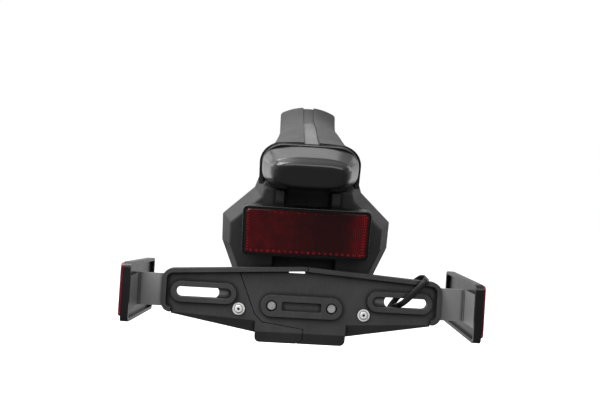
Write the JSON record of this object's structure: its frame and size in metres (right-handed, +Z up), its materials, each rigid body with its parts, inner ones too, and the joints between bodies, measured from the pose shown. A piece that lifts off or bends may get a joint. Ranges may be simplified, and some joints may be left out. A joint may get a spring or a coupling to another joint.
{
  "type": "motorbike tail tidy",
  "caption": "Motorbike tail tidy: moulded arm with a smoked lamp pod and a red reflector over a split number-plate bracket with slots, and side reflectors on steel straps.",
  "frame": {"origin": "midpoint between the two plate slots, on the front face of the plate bracket", "axes": "+X to the right seen from behind the bike, +Y forwards, +Z up; the number plate faces -Y"},
  "size_m": [0.2586, 0.1806, 0.1934],
  "materials": {
    "black_plastic": "satin black moulding",
    "smoked_lens": "dark smoked, smooth",
    "black_rubber": "matt",
    "red_lens": "dark red prismatic",
    "grey_paint": "satin grey paint on steel",
    "zinc_steel": "zinc plated",
    "brass": "plain",
    "board": "matt",
    "chips": "smooth"
  },
  "bodies": {
    "root": {"tail_arm": "black_plastic", "tail_inserts": "brass", "plate_carrier": "black_plastic", "carrier_screws": "zinc_steel", "lamp_gasket": "black_rubber", "lamp_housing": "black_plastic", "lamp_lens": "smoked_lens", "lamp_board": "board", "lamp_chips": "chips", "lamp_studs": "zinc_steel", "lamp_nuts": "zinc_steel", "lamp_grommet": "black_rubber", "rear_reflector_base": "black_plastic", "rear_reflector_lens": "red_lens", "rear_reflector_stud": "zinc_steel", "rear_reflector_nut": "zinc_steel", "left_wing": "black_plastic", "right_wing": "black_plastic", "left_strap": "grey_paint", "right_strap": "grey_paint", "strap_rivets": "zinc_steel", "centre_bolts": "zinc_steel", "centre_washers": "zinc_steel", "centre_nuts": "zinc_steel", "left_reflector_base": "black_plastic", "left_reflector_lens": "red_lens", "right_reflector_base": "black_plastic", "right_reflector_lens": "red_lens"}
  },
  "joints": []
}
